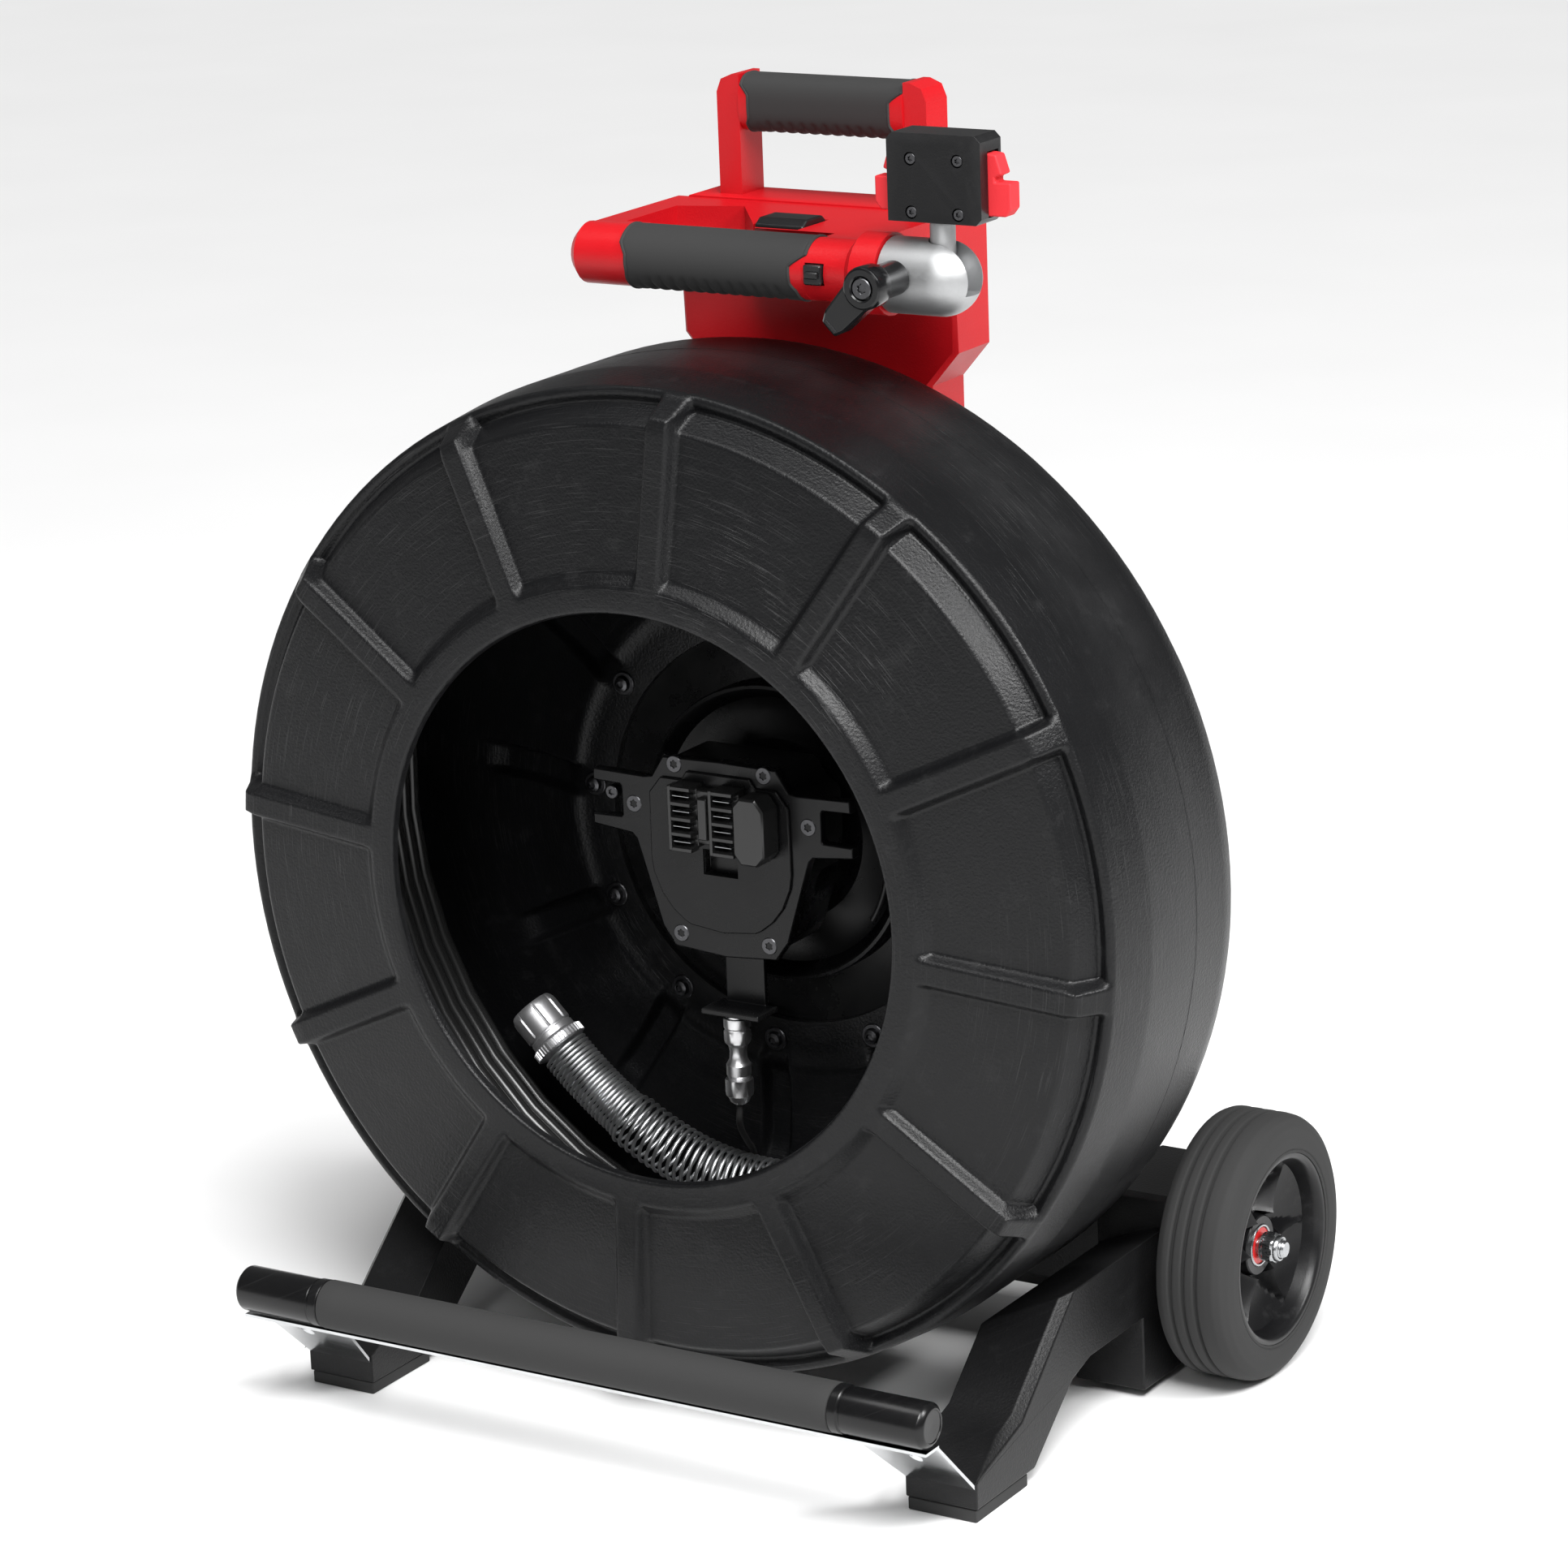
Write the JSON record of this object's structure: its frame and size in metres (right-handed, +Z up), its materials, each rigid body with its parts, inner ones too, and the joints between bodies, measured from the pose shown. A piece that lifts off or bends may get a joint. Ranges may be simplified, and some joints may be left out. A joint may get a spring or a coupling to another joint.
{
  "type": "inspection camera reel",
  "caption": "Wheeled reel for a drain inspection camera: an open drum of coiled push rod on an upright frame with carrying handles and a tilting monitor clamp.",
  "frame": {"origin": "middle of the footprint, on the floor plane under the foot pads and wheels", "axes": "+Z up, +X to the right seen from the front, -Y towards the drum's open front"},
  "size_m": [0.658, 0.463, 0.845],
  "materials": {
    "drum_moulding": "moulded polyethylene, fine grain, scuffed",
    "hub_moulding": "moulded plastic, semi-matte",
    "frame_moulding": "moulded plastic, coarse grain",
    "rim_moulding": "moulded plastic, satin",
    "terminal_plastic": "gloss black",
    "red_moulding": "fine-textured red plastic",
    "latch_red": "smooth red plastic",
    "seal_red": "moulded red shield",
    "grip_rubber": "ribbed soft overmould",
    "bar_rubber": "matte sleeve",
    "bar_sleeve_gloss": "gloss black, chamfered",
    "foot_rubber": "matte",
    "tyre_rubber": "grooved tread",
    "steel": "zinc plated",
    "connector_steel": "turned, satin",
    "spring_steel": "bright drawn wire",
    "camera_steel": "turned and knurled",
    "camera_glass": "flat window",
    "lead_sheath": "smooth sheath",
    "rod_jacket": "smooth extruded jacket",
    "clamp_aluminium": "satin",
    "lever_black": "gloss",
    "bracket_black": "fine texture",
    "screw_black": "black oxide",
    "button_black": "semi-gloss",
    "paddle_black": "satin",
    "plate_grey": "satin sheet"
  },
  "bodies": {
    "frame": {"side_frame_left": "frame_moulding", "side_frame_right": "frame_moulding", "foot_pad_left": "foot_rubber", "foot_pad_right": "foot_rubber", "cross_member": "frame_moulding", "mast": "frame_moulding", "spindle": "steel", "spindle_nut": "steel", "wheel_axle": "steel", "axle_nut_left": "steel", "axle_nut_right": "steel", "bar_rod": "steel", "bar_grip": "bar_rubber", "bar_sleeve_left": "bar_sleeve_gloss", "bar_sleeve_right": "bar_sleeve_gloss", "bar_plate": "plate_grey", "head_housing": "red_moulding", "top_grip": "grip_rubber", "front_grip": "grip_rubber", "clamp_housing": "clamp_aluminium"},
    "drum": {"drum_front_shell": "drum_moulding", "drum_rear_shell": "drum_moulding", "hub_disc": "hub_moulding", "hub_housing": "hub_moulding", "hub_bearing_front": "steel", "hub_bearing_rear": "steel", "dock_plate": "hub_moulding", "dock_cover": "hub_moulding", "terminal_block": "terminal_plastic", "terminal_guard": "terminal_plastic", "connector_bracket": "hub_moulding", "lead_connector": "connector_steel", "lead_cable": "lead_sheath", "push_rod_coil": "rod_jacket", "push_rod_tail": "rod_jacket", "rod_spring": "spring_steel", "spring_collar": "camera_steel", "camera_head": "camera_steel", "camera_window": "camera_glass"},
    "wheel_left": {"tyre_left": "tyre_rubber", "wheel_rim_left": "rim_moulding", "wheel_bearing_left": "seal_red"},
    "wheel_right": {"tyre_right": "tyre_rubber", "wheel_rim_right": "rim_moulding", "wheel_bearing_right": "seal_red"},
    "stud": {"ball_stud": "clamp_aluminium"},
    "bracket": {"bracket_block": "bracket_black", "bracket_screw_1": "screw_black", "bracket_screw_2": "screw_black", "bracket_screw_3": "screw_black", "bracket_screw_4": "screw_black"},
    "latch_left": {"latch_left": "latch_red"},
    "latch_right": {"latch_right": "latch_red"},
    "lever": {"clamp_lever": "lever_black", "lever_screw": "screw_black"},
    "button": {"power_button": "button_black"},
    "paddle": {"release_paddle": "paddle_black"}
  },
  "joints": [
    {"name": "drum_spin", "type": "hinge", "parent": "frame", "child": "drum", "pos_m": [0, 0.0065, 0.361], "axis": [0, 1, 0], "continuous": true},
    {"name": "wheel_left_spin", "type": "hinge", "parent": "frame", "child": "wheel_left", "pos_m": [-0.294, 0.1425, 0.089], "axis": [1, 0, 0], "continuous": true},
    {"name": "wheel_right_spin", "type": "hinge", "parent": "frame", "child": "wheel_right", "pos_m": [0.294, 0.1425, 0.089], "axis": [1, 0, 0], "continuous": true},
    {"name": "stud_tilt", "type": "hinge", "parent": "frame", "child": "stud", "pos_m": [0.16, 0.0095, 0.747], "axis": [0, 1, 0], "range_deg": [-10, 90]},
    {"name": "bracket_pan", "type": "hinge", "parent": "stud", "child": "bracket", "pos_m": [0.16, 0.0095, 0.783], "axis": [0, 0, 1], "range_deg": [-180, 180]},
    {"name": "latch_left_press", "type": "slide", "parent": "bracket", "child": "latch_left", "axis": [1, 0, 0], "range_m": [0, 0.004], "stiffness_N_per_m": 400, "springref_m": -0.004},
    {"name": "latch_right_press", "type": "slide", "parent": "bracket", "child": "latch_right", "axis": [-1, 0, 0], "range_m": [0, 0.004], "stiffness_N_per_m": 400, "springref_m": -0.004},
    {"name": "clamp_lever_turn", "type": "hinge", "parent": "frame", "child": "lever", "pos_m": [0.139, -0.02, 0.75], "axis": [0, 1, 0], "range_deg": [-20, 100]},
    {"name": "power_button_press", "type": "slide", "parent": "frame", "child": "button", "axis": [0, 1, 0], "range_m": [0, 0.002], "stiffness_N_per_m": 300, "springref_m": -0.002},
    {"name": "release_paddle_pull", "type": "slide", "parent": "frame", "child": "paddle", "axis": [0, -1, 0], "range_m": [0, 0.006], "stiffness_N_per_m": 600, "springref_m": -0.004}
  ]
}
